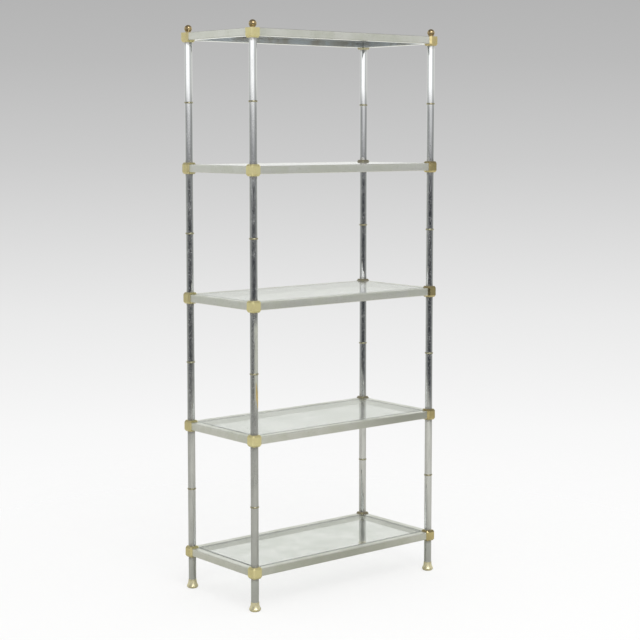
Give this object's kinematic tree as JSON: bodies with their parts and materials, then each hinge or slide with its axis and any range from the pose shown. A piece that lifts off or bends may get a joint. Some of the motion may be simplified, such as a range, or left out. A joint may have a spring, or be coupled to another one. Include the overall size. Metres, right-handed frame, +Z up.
{
  "type": "etagere",
  "caption": "Tall open display stand with inset glass shelves in square tube frames, joined by chamfered brass corner blocks on round chromed posts.",
  "frame": {"origin": "on the floor, in the middle of the four feet", "axes": "+Z up; X along the width, -X is the left; the front is -Y"},
  "size_m": [0.809, 0.391, 1.9011],
  "materials": {
    "chromed_tube": "polished chrome",
    "satin_frame": "satin chrome",
    "satin_brass": "satin, pale",
    "polished_brass": "polished, pale",
    "clear_glass": "clear float glass",
    "plain_steel": "plain, hidden"
  },
  "bodies": {
    "stand": {"foot_front_left": "polished_brass", "post_front_left": "chromed_tube", "finial_front_left": "polished_brass", "foot_front_right": "polished_brass", "post_front_right": "chromed_tube", "finial_front_right": "polished_brass", "foot_rear_right": "polished_brass", "post_rear_right": "chromed_tube", "finial_rear_right": "polished_brass", "foot_rear_left": "polished_brass", "post_rear_left": "chromed_tube", "finial_rear_left": "polished_brass", "block_1_front_left": "satin_brass", "block_1_front_right": "satin_brass", "block_1_rear_right": "satin_brass", "block_1_rear_left": "satin_brass", "rail_1_front": "satin_frame", "rail_1_right": "satin_frame", "rail_1_rear": "satin_frame", "rail_1_left": "satin_frame", "block_2_front_left": "satin_brass", "block_2_front_right": "satin_brass", "block_2_rear_right": "satin_brass", "block_2_rear_left": "satin_brass", "rail_2_front": "satin_frame", "rail_2_right": "satin_frame", "rail_2_rear": "satin_frame", "rail_2_left": "satin_frame", "block_3_front_left": "satin_brass", "block_3_front_right": "satin_brass", "block_3_rear_right": "satin_brass", "block_3_rear_left": "satin_brass", "rail_3_front": "satin_frame", "rail_3_right": "satin_frame", "rail_3_rear": "satin_frame", "rail_3_left": "satin_frame", "block_4_front_left": "satin_brass", "block_4_front_right": "satin_brass", "block_4_rear_right": "satin_brass", "block_4_rear_left": "satin_brass", "rail_4_front": "satin_frame", "rail_4_right": "satin_frame", "rail_4_rear": "satin_frame", "rail_4_left": "satin_frame", "block_5_front_left": "satin_brass", "block_5_front_right": "satin_brass", "block_5_rear_right": "satin_brass", "block_5_rear_left": "satin_brass", "rail_5_front": "satin_frame", "rail_5_right": "satin_frame", "rail_5_rear": "satin_frame", "rail_5_left": "satin_frame", "bead_rings": "polished_brass", "tie_rods": "plain_steel"},
    "pane_1": {"glass_1": "clear_glass"},
    "pane_2": {"glass_2": "clear_glass"},
    "pane_3": {"glass_3": "clear_glass"},
    "pane_4": {"glass_4": "clear_glass"},
    "pane_5": {"glass_5": "clear_glass"}
  },
  "joints": [
    {"name": "glass_1_lift", "type": "slide", "parent": "stand", "child": "pane_1", "axis": [0, 0, 1], "range_m": [0, 0.05]},
    {"name": "glass_2_lift", "type": "slide", "parent": "stand", "child": "pane_2", "axis": [0, 0, 1], "range_m": [0, 0.05]},
    {"name": "glass_3_lift", "type": "slide", "parent": "stand", "child": "pane_3", "axis": [0, 0, 1], "range_m": [0, 0.05]},
    {"name": "glass_4_lift", "type": "slide", "parent": "stand", "child": "pane_4", "axis": [0, 0, 1], "range_m": [0, 0.05]},
    {"name": "glass_5_lift", "type": "slide", "parent": "stand", "child": "pane_5", "axis": [0, 0, 1], "range_m": [0, 0.05]}
  ]
}
